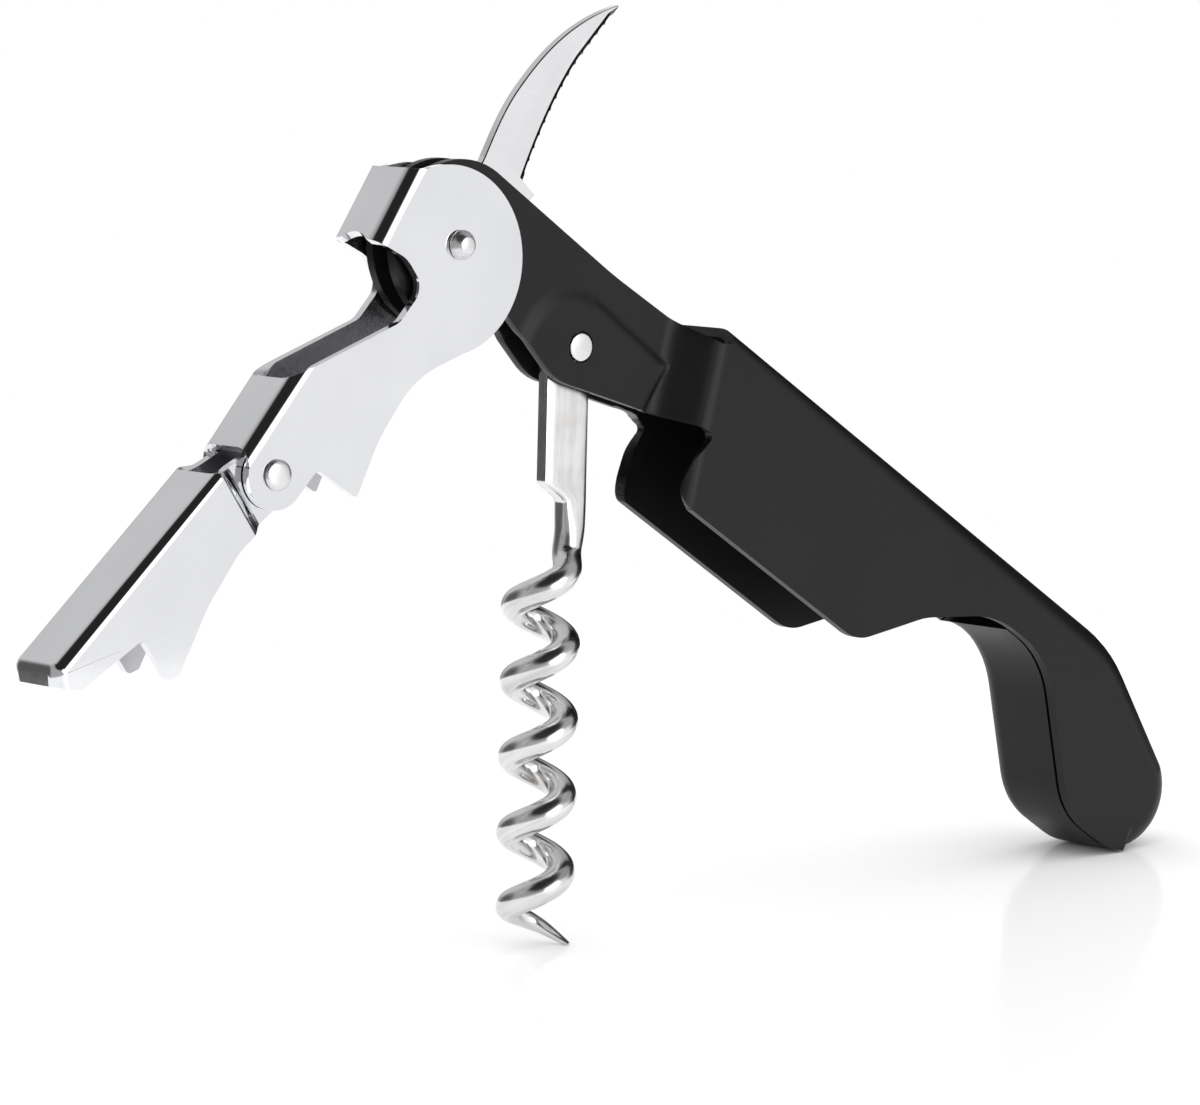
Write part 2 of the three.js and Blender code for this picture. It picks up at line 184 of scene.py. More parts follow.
def prism(points: list[Corner], half: float) -> BMesh:
    """Makes a solid from a side outline.

    Args:
        points: The outline.
        half: Half of the solid's width, in millimetres.

    Returns:
        The solid, with the near cap at -half and faces pointing out.
    """
    bm = bmesh.new()
    cap = bm.faces.new([bm.verts.new((p.x, -half, p.z)) for p in points])
    grown = bmesh.ops.extrude_face_region(bm, geom=[cap])["geom"]
    bmesh.ops.translate(bm, verts=list(filter(is_vert, grown)), vec=(0, 2 * half, 0))
    bmesh.ops.recalc_face_normals(bm, faces=bm.faces[:])
    return bm


def folded_skin(points: list[Corner], half: float, fold_radius: float) -> BMesh:
    """Makes the outer skin of a folded sheet: two walls joined along the sides that fold.

    Args:
        points: The outline of a wall.
        half: Half of the outer width.
        fold_radius: The outer radius of the folds.

    Returns:
        The skin, open along the open sides, with the near wall free along a seam.
    """
    bm = prism(points, half)
    kind = bm.faces.layers.int.new("kind")
    middles = []
    for i, point in enumerate(points):
        after = points[(i + 1) % len(points)]
        middles.append((Vector(((point.x + after.x) / 2, (point.z + after.z) / 2)), point.side))
    walls = set(sorted(bm.faces, key=lambda f: -len(f.verts))[:2])
    doomed = []
    for face in bm.faces:
        if face in walls:
            face[kind] = -1
            continue
        centre = face.calc_center_median()
        spot = Vector((centre.x, centre.z))
        side = min(middles, key=lambda m: (m[0] - spot).length)[1]
        face[kind] = side.value
        if side is Side.OPEN:
            doomed.append(face)
    bmesh.ops.delete(bm, geom=doomed, context="FACES")
    bends, seam = [], []
    for edge in bm.edges:
        kinds = {face[kind] for face in edge.link_faces}
        if len(edge.link_faces) < 2 or -1 not in kinds:
            continue
        near = edge.verts[0].co.y < 0
        (seam if near and Side.SEAM.value in kinds else bends).append(edge)
    bmesh.ops.bevel(
        bm, geom=bends, offset=fold_radius, offset_type="OFFSET", segments=8, profile=0.5,
        affect="EDGES", material=-1, clamp_overlap=False,
    )
    return bm


def seam_edges(bm: BMesh, half: float) -> list[BMEdge]:
    """Finds the sharp edges that are left between the near wall and the folded band."""
    return [
        e for e in bm.edges
        if len(e.link_faces) == 2 and e.calc_face_angle(0) > SEAM_ANGLE
        and all(abs(v.co.y + half) < SAME for v in e.verts)
    ]


def every_face(_face: BMFace) -> bool:
    """Takes every face."""
    return True


def with_parts(faces: list[BMFace]) -> list:
    """Returns faces together with their edges and vertices."""
    geom: set = set(faces)
    for face in faces:
        geom.update(face.edges)
        geom.update(face.verts)
    return list(geom)


def cut(bm: BMesh, spot: Point, normal: Point, keep: Callable[[BMFace], bool]) -> None:
    """Cuts faces along a plane that stands across the piece.

    Args:
        bm: The mesh.
        spot: A point (x, z) of the plane.
        normal: Its normal (x, z).
        keep: Says which faces are cut.
    """
    bmesh.ops.bisect_plane(
        bm, geom=with_parts([f for f in bm.faces if keep(f)]), dist=CUT_REACH,
        plane_co=(spot[0], 0, spot[1]), plane_no=(normal[0], 0, normal[1]),
    )


def next_loop(old: list[BMVert], edges: list[BMEdge]) -> list[BMVert]:
    """Returns the newest loop's vertices in the order of the loop that it grew from.

    Args:
        old: The vertices of the loop before, in order.
        edges: The edges of the newest loop.

    Returns:
        The newest vertices, in the same order.
    """
    new = {v for e in edges for v in e.verts} - set(old)
    return [
        next(e.other_vert(vert) for e in vert.link_edges if e.other_vert(vert) in new)
        for vert in old
    ]


def finish_mesh(bm: BMesh, name: str, place: Matrix) -> bpy.types.Object:
    """Turns a bmesh in millimetres into an object at the origin, in metres.

    Args:
        bm: The mesh, which is freed.
        name: The object's name.
        place: The frame of the piece.

    Returns:
        The object, shaded smooth.
    """
    bmesh.ops.transform(bm, matrix=place, verts=bm.verts[:])
    mesh = bpy.data.meshes.new(name)
    bm.to_mesh(mesh)
    bm.free()
    mesh.shade_smooth()
    made = bpy.data.objects.new(name, mesh)
    bpy.context.scene.collection.objects.link(made)
    return made


def settle(made: bpy.types.Object) -> None:
    """Applies an object's modifiers to its mesh."""
    bpy.context.view_layer.update()
    shown = made.evaluated_get(bpy.context.evaluated_depsgraph_get())
    mesh = bpy.data.meshes.new_from_object(shown)
    made.modifiers.clear()
    made.data = mesh


def thicken(made: bpy.types.Object, sheet: float) -> None:
    """Gives a skin the thickness of its sheet, inwards, its inner face in the second finish, the
    darker one that paints shade inside.

    Args:
        made: The skin.
        sheet: The thickness in millimetres.
    """
    wall = made.modifiers.new("sheet", "SOLIDIFY")
    wall.thickness = sheet * MM
    wall.offset = -1
    wall.use_even_offset = True
    wall.use_quality_normals = True
    wall.material_offset = 1
    settle(made)


def soften(made: bpy.types.Object, width: float, segments: int = 2, angle: float = 40) -> None:
    """Rounds every sharp edge of an object.

    Args:
        made: The object.
        width: The bevel's width in millimetres.
        segments: How many faces it has across.
        angle: The least angle, in degrees, that counts as sharp.
    """
    bevel = made.modifiers.new("edges", "BEVEL")
    bevel.width = width * MM
    bevel.segments = segments
    bevel.limit_method = "ANGLE"
    bevel.angle_limit = math.radians(angle)
    bevel.miter_outer = "MITER_ARC"
    settle(made)
    even = made.modifiers.new("shading", "WEIGHTED_NORMAL")
    even.mode = "FACE_AREA"
    even.weight = 90
    settle(made)


def bore(made: bpy.types.Object, pivot: Vector, radius: float) -> None:
    """Cuts a round hole across an object.

    Args:
        made: The object.
        pivot: A point on the hole's axis, in metres.
        radius: Its radius in millimetres.
    """
    bm = bmesh.new()
    bmesh.ops.create_cone(
        bm, cap_ends=True, segments=48, radius1=radius, radius2=radius, depth=20
    )
    bmesh.ops.rotate(bm, verts=bm.verts[:], matrix=Matrix.Rotation(math.pi / 2, 3, "X"))
    cutter = finish_mesh(bm, "bore_cutter", Matrix.Translation(pivot) @ Matrix.Scale(MM, 4))
    hole = made.modifiers.new("bore", "BOOLEAN")
    hole.operation = "DIFFERENCE"
    hole.solver = "MANIFOLD"
    hole.object = cutter
    settle(made)
    bpy.data.objects.remove(cutter)


def join_frame(made: bpy.types.Object, body: str, slot: str, *nodes: str) -> None:
    """Puts a finished piece on its body, in place of the CAD nodes that it stands for."""
    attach(made, body)
    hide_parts(*nodes)
    LOG.info("%s: %d faces on %s", made.name, len(made.data.polygons), body)


# ------------------------------------------------------------------ finishes


class Socket:
    """One output of a node, with arithmetic that adds Math nodes."""

    def __init__(self, shop: "Shop", link: bpy.types.NodeSocket) -> None:
        """Keeps the output and the tree that it belongs to."""
        self.shop = shop
        self.link = link

    def math(self, operation: str, *others: "Socket | float") -> "Socket":
        """Adds a Math node on this value and others."""
        inputs = {i: value for i, value in enumerate((self, *others))}
        return self.shop.node("ShaderNodeMath", {"operation": operation}, inputs)

    def __add__(self, other: "Socket | float") -> "Socket":
        """Returns this value plus another."""
        return self.math("ADD", other)

    def __radd__(self, other: "Socket | float") -> "Socket":
        """Returns another value plus this one."""
        return self.math("ADD", other)

    def __sub__(self, other: "Socket | float") -> "Socket":
        """Returns this value minus another."""
        return self.math("SUBTRACT", other)

    def __rsub__(self, other: float) -> "Socket":
        """Returns a number minus this value."""
        return (self * -1.0) + other

    def __mul__(self, other: "Socket | float") -> "Socket":
        """Returns this value times another."""
        return self.math("MULTIPLY", other)

    def __rmul__(self, other: "Socket | float") -> "Socket":
        """Returns another value times this one."""
        return self.math("MULTIPLY", other)


class Shop:
    """A node tree, and the one method that adds nodes to it."""

    def __init__(self, tree: bpy.types.NodeTree) -> None:
        """Clears the tree and keeps it."""
        self.tree = tree
        tree.nodes.clear()

    def node(
        self, kind: str, settings: dict | None = None, inputs: dict | None = None,
        out: int | str = 0,
    ) -> Socket:
        """Adds one node.

        Args:
            kind: The node's type.
            settings: Its properties, and a ramp's stops under "stops".
            inputs: Values or links of its sockets, by name or number.
            out: Which output is returned.

        Returns:
            That output.
        """
        made = self.tree.nodes.new(kind)
        for key, value in (settings or {}).items():
            if key == "stops":
                self.set_stops(made.color_ramp, value)
            else:
                setattr(made, key, value)
        for key, value in (inputs or {}).items():
            if isinstance(value, Socket):
                self.tree.links.new(value.link, made.inputs[key])
            else:
                made.inputs[key].default_value = value
        return Socket(self, made.outputs[out] if len(made.outputs) else None)

    @staticmethod
    def set_stops(ramp: bpy.types.ColorRamp, stops: list[tuple[float, float]]) -> None:
        """Gives a ramp its stops, each a place and a grey level."""
        while len(ramp.elements) < len(stops):
            ramp.elements.new(0.5)
        for element, (place, level) in zip(ramp.elements, stops):
            element.position = place
            element.color = (level, level, level, 1)

    def noise(self, where: Socket, scale: float, detail: float = 3, rough: float = 0.5) -> Socket:
        """Adds a noise pattern on some coordinates."""
        inputs = {"Vector": where, "Scale": scale, "Detail": detail, "Roughness": rough}
        return self.node("ShaderNodeTexNoise", {}, inputs)

    def remap(
        self, value: Socket, low: float, high: float, to_low: float, to_high: float
    ) -> Socket:
        """Maps one range of a value onto another, clamped."""
        inputs = {"Value": value, 1: low, 2: high, 3: to_low, 4: to_high}
        return self.node("ShaderNodeMapRange", {"clamp": True}, inputs)

    def blend(self, share: Socket, first: tuple, second: tuple) -> Socket:
        """Mixes two colours by a share."""
        inputs = {0: share, 6: (*first, 1), 7: (*second, 1)}
        return self.node("ShaderNodeMix", {"data_type": "RGBA"}, inputs, out=2)

    def bump(self, height: Socket, strength: float, distance: float) -> Socket:
        """Adds a bump, whose distance is in millimetres."""
        inputs = {"Height": height, "Strength": strength, "Distance": distance * MM}
        return self.node("ShaderNodeBump", {}, inputs)


@dataclass(frozen=True)
class Finish:
    """What all finishes share."""

    name: str

    def material(self) -> bpy.types.Material:
        """Returns the material, made once."""
        known = bpy.data.materials.get(self.name)
        if known:
            return known
        made = bpy.data.materials.new(self.name)
        made.use_nodes = True
        shop = Shop(made.node_tree)
        surface = shop.node("ShaderNodeBsdfPrincipled", {}, self.sockets(shop))
        shop.node("ShaderNodeOutputMaterial", {}, {"Surface": surface})
        return made

    def sockets(self, shop: Shop) -> dict:
        """Returns the values and links of the shader's sockets."""
        raise NotImplementedError

    def dress(self, piece: bpy.types.Object, inside: "Finish | None" = None) -> None:
        """Puts the material on a piece, and another on the inner faces of a sheet, where the darker
        inside finishes are painted shade.
        """
        piece.data.materials.clear()
        for finish in (self, inside) if inside else (self,):
            piece.data.materials.append(finish.material())


@dataclass(frozen=True)
class PowderCoat(Finish):
    """Satin black powder coat: a fine grain over a faint orange peel."""

    dark: tuple = (0.0026, 0.0026, 0.0031)
    pale: tuple = (0.0046, 0.0046, 0.0054)
    gloss: tuple = (0.33, 0.42)

    def sockets(self, shop: Shop) -> dict:
        """Returns the values and links of the shader's sockets."""
        where = shop.node("ShaderNodeTexCoord", out="Object")
        peel = shop.noise(where, 900, 2)
        grain = shop.noise(where, 6500, 2, 0.6)
        cloud = shop.noise(where, 60, 4)
        height = peel * 0.45 + grain * 0.3
        return {
            "Base Color": shop.blend(shop.remap(cloud, 0.35, 0.65, 0, 1), self.dark, self.pale),
            "Roughness": shop.remap(grain * 0.4 + cloud * 0.6, 0.35, 0.65, *self.gloss),
            "Metallic": 0.0,
            "Specular IOR Level": 0.28,
            "Normal": shop.bump(height, 0.35, 0.02),
        }


@dataclass(frozen=True)
class Chrome(Finish):
    """Bright chrome over pressed steel, with faint waves and polishing haze."""

    tint: tuple = (0.86, 0.865, 0.885)
    shade: tuple = (0.8, 0.805, 0.83)
    gloss: tuple = (0.05, 0.11)

    def sockets(self, shop: Shop) -> dict:
        """Returns the values and links of the shader's sockets."""
        where = shop.node("ShaderNodeTexCoord", out="Object")
        cloud = shop.noise(where, 90, 3)
        haze = shop.noise(where, 1400, 3, 0.65)
        wave = shop.noise(where, 130, 1)
        return {
            "Base Color": shop.blend(shop.remap(cloud, 0.3, 0.7, 0, 1), self.tint, self.shade),
            "Roughness": shop.remap(haze * 0.5 + cloud * 0.5, 0.35, 0.65, *self.gloss),
            "Metallic": 1.0,
            "Normal": shop.bump(wave + haze * 0.02, 0.25, 0.05),
        }


@dataclass(frozen=True)
class WireSteel(Finish):
    """Polished drawn wire, whose streaks follow the wire by the mesh's grain attribute."""

    tint: tuple = (0.84, 0.835, 0.835)
    shade: tuple = (0.6, 0.585, 0.575)
    gloss: tuple = (0.14, 0.26)

    def sockets(self, shop: Shop) -> dict:
        """Returns the values and links of the shader's sockets."""
        grain = shop.node("ShaderNodeAttribute", {"attribute_name": "grain"}, out="Vector")
        where = shop.node("ShaderNodeTexCoord", out="Object")
        streak = shop.noise(grain, 2.6, 5, 0.6)
        fine = shop.noise(grain, 9.0, 3, 0.6)
        cloud = shop.noise(where, 260, 3)
        share = shop.remap(streak * 0.65 + cloud * 0.35, 0.45, 0.7, 0, 1)
        return {
            "Base Color": shop.blend(share, self.tint, self.shade),
            "Roughness": shop.remap(fine * 0.6 + streak * 0.4, 0.3, 0.7, *self.gloss),
            "Metallic": 1.0,
            "Normal": shop.bump(streak * 0.7 + fine * 0.3, 0.15, 0.03),
        }


@dataclass(frozen=True)
class GroundSteel(Finish):
    """Ground steel, with fine lines along one axis of a piece's frame, and painted shade wherever
    the mesh's ground attribute is set: on the blade's hollow grind and on its edge band.
    """

    tint: tuple = (0.84, 0.84, 0.86)
    # shade is both the faint random darkening of the face and the painted shade on the blade's
    # grind and edge band.
    shade: tuple = (0.035, 0.035, 0.04)
    gloss: tuple = (0.14, 0.24)
    lines: float = 0.0

    def sockets(self, shop: Shop) -> dict:
        """Returns the values and links of the shader's sockets."""
        where = shop.node("ShaderNodeTexCoord", out="Object")
        turn = (0, math.radians(self.lines), 0)
        inputs = {"Vector": where, "Rotation": turn, "Scale": (0.06, 1, 1)}
        along = shop.node("ShaderNodeMapping", {}, inputs)
        line = shop.noise(along, 5200, 3, 0.65)
        cloud = shop.noise(where, 150, 3)
        # The ground attribute is painted shade: it darkens the blade's hollow grind and edge band
        # to stand for the dark that they reflect.
        hollow = shop.node("ShaderNodeAttribute", {"attribute_name": "ground"}, out="Fac")
        face = shop.remap(line * 0.4 + cloud * 0.6, 0.35, 0.65, 0, 0.07)
        return {
            "Base Color": shop.blend(face + hollow * 0.93, self.tint, self.shade),
            "Roughness": shop.remap(line, 0.3, 0.7, *self.gloss),
            "Metallic": 1.0,
            "Normal": shop.bump(line, 0.12, 0.01),
        }


@dataclass(frozen=True)
class Brass(Finish):
    """Plain brass shim, a little tarnished."""

    tint: tuple = (0.6, 0.46, 0.21)
    shade: tuple = (0.36, 0.26, 0.12)

    def sockets(self, shop: Shop) -> dict:
        """Returns the values and links of the shader's sockets."""
        where = shop.node("ShaderNodeTexCoord", out="Object")
        cloud = shop.noise(where, 700, 4)
        return {
            "Base Color": shop.blend(shop.remap(cloud, 0.35, 0.65, 0, 1), self.tint, self.shade),
            "Roughness": shop.remap(cloud, 0.3, 0.7, 0.28, 0.45),
            "Metallic": 1.0,
            "Normal": shop.bump(cloud, 0.1, 0.01),
        }


POWDER = PowderCoat("black_powder_coat")
# The inner faces get the same powder coat, made darker: painted shade for the inside of the fold.
POWDER_PAINTED_SHADE_INSIDE = PowderCoat("black_powder_coat_painted_shade_inside", (0.0006,) * 3, (0.0012,) * 3, (0.55, 0.65))
CHROME = Chrome("bright_chrome")
# Inside the levers the chrome is rougher, a duller finish of its own, and its darker tint is
# painted shade for the enclosed faces.
CHROME_PAINTED_SHADE_INSIDE = Chrome("dull_chrome_painted_shade_inside", (0.52, 0.52, 0.54), (0.4, 0.4, 0.42), (0.24, 0.34))
WIRE = WireSteel("drawn_wire_steel")
# The blade's finish paints shade on its grind and edge band, by the ground attribute.
BLADE_STEEL = GroundSteel("ground_blade_steel_painted_grind_shade", lines=45)
RIVET_STEEL = GroundSteel("satin_rivet_steel", (0.8, 0.8, 0.81), (0.1, 0.1, 0.11), (0.24, 0.36))
SHIM = Brass("shim_brass")


# ------------------------------------------------------------------ handle


@dataclass
class Handle:
    """The folded black handle, drawn from the head rivet towards the tail."""

    angle: float = -35.4
    worm_pivot: float = 19.0
    sheet: float = 1.0
    neck_half: float = 2.1
    grip_half: float = 5.65
    fold_radius: float = 2.7
    spine_start: float = 33.0
    spine_height: float = 10.6
    joggle_start: float = 29.7
    joggle_length: float = 6.0
    joggle_slant: float = 0.33
    pad_rise: float = 0.4
    pad_centre: Point = (18.6, -1.4)
    pad_radius: float = 6.1
    pad_end: float = 29.5
    seam_inset: float = 1.35
    seam_fade: float = 3.5
    tail: Point = (107.6, -1.3)
    tail_radius: float = 6.4
    seam_end: float = 300.0
    joggle_cuts: int = 16
    pad_corner: Point = (11.0, -6.4)
    pad_grid: float = 0.4
    pad_columns: int = 52
    pad_rows: int = 33
    worm_bore: float = 1.55
    place: Matrix = field(init=False)

    def __post_init__(self) -> None:
        """Works out the handle's frame from the lever's joint."""
        self.place = piece_frame(pivot_of("lever_fold"), self.angle)

    def outline(self) -> list[Corner]:
        """Returns the outline of a wall."""
        fold, seam = Side.FOLD, Side.SEAM
        tail_x, tail_z = self.tail
        return rounded([
            *arc((1.0, 0.6), 8.1, 90, 339),
            Corner(10, -2.1, 2), Corner(18, -4.3, 6),
            Corner(34.3, 0.35, 1.2), Corner(36.2, 0.35, 0.6),
            Corner(35.5, -2.8, 4), Corner(35.8, -7.2, 4),
            Corner(64.3, -7.2, 4.5), Corner(71.3, -0.6, 9),
            Corner(80, 4.5, 12, seam), Corner(89, 4.5, 10, seam),
            Corner(tail_x - 6.6, tail_z - self.tail_radius, 9, seam),
            *arc(self.tail, self.tail_radius, 270, self.seam_end, seam)[:-1],
            *arc(self.tail, self.tail_radius, self.seam_end, 415, fold),
            Corner(tail_x - 10, self.spine_height, 16, fold),
            Corner(self.spine_start, self.spine_height), Corner(self.spine_start, 8.5, 0.5),
            Corner(self.worm_pivot, 8.1, 30),
        ])

    def pad_share(self, x: float, z: float) -> float:
        """Returns how far the wall is raised at a point, from 0 to 1 on the pad.

        Args:
            x: Distance from the head rivet, in millimetres.
            z: Height over it.

        Returns:
            The share of the pad's rise.
        """
        cx, cz = self.pad_centre
        if x < cx:
            inside = x - (cx - self.pad_radius)
            if z >= cz:
                inside = self.pad_radius - math.hypot(x - cx, z - cz)
            return smooth_step(inside, -0.9, 1.0)
        top = cz + self.pad_radius - 0.055 * (x - cx) - z
        return smooth_step(top, -0.45, 0.45) * smooth_step(self.pad_end - x, -0.3, 0.35)

    def half_at(self, x: float, z: float) -> float:
        """Returns half of the handle's outer width at a point of the wall.

        Args:
            x: Distance from the head rivet, in millimetres.
            z: Height over it.

        Returns:
            The half width, in millimetres.
        """
        along = x + self.joggle_slant * z
        t = min(1.0, max(0.0, (along - self.joggle_start) / self.joggle_length))
        step = (1 - math.cos(math.pi * t)) / 2
        neck = self.neck_half + self.pad_rise * self.pad_share(x, z)
        return neck + (self.grip_half - neck) * step

    def cut_walls(self, bm: BMesh) -> None:
        """Cuts the walls finely where they bend."""
        lean = (1.0, self.joggle_slant)

        def on_pad(face: BMFace) -> bool:
            """Takes the faces of the walls round the pad."""
            centre = face.calc_center_median()
            return abs(centre.y) > 5 and 10.9 < centre.x < 33.1 and face.normal.y ** 2 > 0.9

        left, low = self.pad_corner
        cut(bm, (left, 0), (1, 0), every_face)
        for i in range(self.joggle_cuts + 1):
            spot = self.joggle_start + self.joggle_length * i / self.joggle_cuts
            cut(bm, (spot, 0), lean, every_face)
        for i in range(1, self.pad_columns):
            cut(bm, (left + self.pad_grid * i, 0), (1, 0), on_pad)
        for i in range(self.pad_rows):
            cut(bm, (0, low + self.pad_grid * i), (0, 1), on_pad)

    def shell(self) -> bpy.types.Object:
        """Builds the handle's sheet."""
        bm = folded_skin(self.outline(), self.grip_half, self.fold_radius)
        seam = seam_edges(bm, self.grip_half)
        bmesh.ops.split_edges(bm, edges=seam)
        band = [
            v for v in bm.verts
            if abs(v.co.y + self.grip_half) < SAME and v.link_faces
            and all(abs(f.normal.y) < 0.3 for f in v.link_faces)
        ]
        turn = Matrix.Rotation(math.radians(self.seam_end), 2)
        end = Vector(self.tail) + turn @ Vector((self.tail_radius, 0))
        for vert in band:
            gone = (Vector((vert.co.x, vert.co.z)) - end).length
            vert.co.y += self.seam_inset * smooth_step(gone, 0, self.seam_fade)
        self.cut_walls(bm)
        for vert in bm.verts:
            vert.co.y *= self.half_at(vert.co.x, vert.co.z) / self.grip_half
        made = finish_mesh(bm, "handle_sheet", self.place)
        # The inner faces take the darker coat, which is painted shade.
        POWDER.dress(made, POWDER_PAINTED_SHADE_INSIDE)
        thicken(made, self.sheet)
        bore(made, pivot_of("worm_fold"), self.worm_bore)
        bore(made, pivot_of("lever_fold"), PIN_BORE)
        soften(made, 0.22, 3)
        return made

    def build(self) -> None:
        """Builds and dresses the handle."""
        made = self.shell()
        join_frame(made, "handle", "black_coated_steel", "handle_shell")


# ------------------------------------------------------------------ levers


@dataclass
class UpperLever:
    """The chromed first lever: head disc, crown-cap opener, arm and step."""

    angle: float = 221.5
    hinge: float = 30.0
    half: float = 3.6
    sheet: float = 0.9
    fold_radius: float = 1.6
    disc_radius: float = 9.1
    disc_shift: float = 2.1
    arch_depth: float = 0.75
    arch_cuts: int = 6
    place: Matrix = field(init=False)

    def __post_init__(self) -> None:
        """Works out the lever's frame from its joint."""
        self.place = piece_frame(pivot_of("lever_fold"), self.angle)

    def outline(self) -> list[Corner]:
        """Returns the outline of a plate."""
        hinge, fold = self.hinge, Side.FOLD
        return rounded([
            *arc((self.disc_shift, 0), self.disc_radius, 58, 243),
            Corner(-0.9, -9.4, 0, fold), Corner(6.8, -7.6, 0),
            Corner(5.4, -3.6, 3), Corner(5.9, -0.2, 2), Corner(10.2, 0.1, 2),
            Corner(hinge - 7.3, -5.3, 0, fold), Corner(hinge + 0.6, -4.3, 0),
            *arc((hinge, 0), 3.3, -60, 90),
            Corner(hinge - 3.6, 3.1, 0.6), Corner(hinge - 4.9, 8.4, 0.35),
            Corner(hinge - 10.5, 6.3, 12), Corner(12.6, 5.2, 14),
        ])

    @staticmethod
    def head_spine(bm: BMesh) -> list[BMFace]:
        """Returns the flat faces of the spine behind the head disc."""
        return [
            f for f in bm.faces
            if abs(f.normal.y) < 0.1
            and f.calc_center_median().x < 8 and f.calc_center_median().z < -6
        ]

    def arch_cap_edge(self, bm: BMesh) -> None:
        """Bends the lower edge of the head spine into the arch that hooks a crown cap."""
        flat = self.half - self.fold_radius
        for i in range(1, 2 * self.arch_cuts):
            level = flat * (i / self.arch_cuts - 1)
            bmesh.ops.bisect_plane(
                bm, geom=with_parts(self.head_spine(bm)), dist=CUT_REACH,
                plane_co=(0, level, 0), plane_no=(0, 1, 0),
            )
        along = Vector((7.7, 0, 1.8)).normalized()
        for vert in bm.verts:
            rim = any(len(e.link_faces) == 1 for e in vert.link_edges)
            low = abs(vert.co.x - 6.8) < 0.1 and vert.co.z < -7
            if rim and low and abs(vert.co.y) < flat + 0.01:
                bow = 1 - (vert.co.y / flat) ** 2
                vert.co -= along * (self.arch_depth * bow)

    def build(self) -> None:
        """Builds and dresses the lever."""
        bm = folded_skin(self.outline(), self.half, self.fold_radius)
        self.arch_cap_edge(bm)
        made = finish_mesh(bm, "upper_lever_sheet", self.place)
        CHROME.dress(made, CHROME_PAINTED_SHADE_INSIDE)
        thicken(made, self.sheet)
        bore(made, pivot_of("lever_fold"), PIN_BORE)
        bore(made, pivot_of("lower_lever_hinge"), PIN_BORE)
        soften(made, LEVER_EDGE, 3)
        join_frame(made, "upper_lever", "chromed_steel", "upper_lever")


@dataclass
class LowerLever:
    """The chromed second lever: narrow ears, channel, notch, step and closed tip."""

    angle: float = 211.5
    length: float = 30.6
    half: float = 3.6
    ear_half: float = 2.55
    step_start: float = 3.4
    step_length: float = 1.9
    step_cuts: int = 10
    sheet: float = 0.9
    fold_radius: float = 1.35
    place: Matrix = field(init=False)

    def __post_init__(self) -> None:
        """Works out the lever's frame from its joint."""
        self.place = piece_frame(pivot_of("lower_lever_hinge"), self.angle)

    def outline(self) -> list[Corner]:
        """Returns the outline of a plate."""
        tip, fold = self.length, Side.FOLD
        return rounded([
            *arc((0, 0), 3.0, 90, 270),
            Corner(3.9, -3.5, 0.4), Corner(5.5, -4.2, 0, fold), Corner(tip - 0.9, -0.43, 1.3, fold),
            Corner(tip, 1.2, 0), Corner(tip - 2.0, 3.1, 1.2), Corner(20.6, 3.4, 0.8),
            Corner(20.5, 8.4, 0.6), Corner(19.2, 8.7, 0.3), Corner(13.2, 5.4, 10),
            Corner(7.5, 3.4, 6), Corner(3.9, 3.1, 0.5),
        ])

    def build(self) -> None:
        """Builds and dresses the lever."""
        bm = folded_skin(self.outline(), self.half, self.fold_radius)
        for i in range(self.step_cuts + 1):
            spot = self.step_start + self.step_length * i / self.step_cuts
            cut(bm, (spot, 0), (1, 0), every_face)
        for vert in bm.verts:
            share = smooth_step(vert.co.x, self.step_start, self.step_start + self.step_length)
            vert.co.y *= (self.ear_half + (self.half - self.ear_half) * share) / self.half
        made = finish_mesh(bm, "lower_lever_sheet", self.place)
        CHROME.dress(made, CHROME_PAINTED_SHADE_INSIDE)
        thicken(made, self.sheet)
        bore(made, pivot_of("lower_lever_hinge"), PIN_BORE)
        soften(made, LEVER_EDGE, 3)
        join_frame(made, "lower_lever", "chromed_steel", "lower_lever")


# ------------------------------------------------------------------ worm


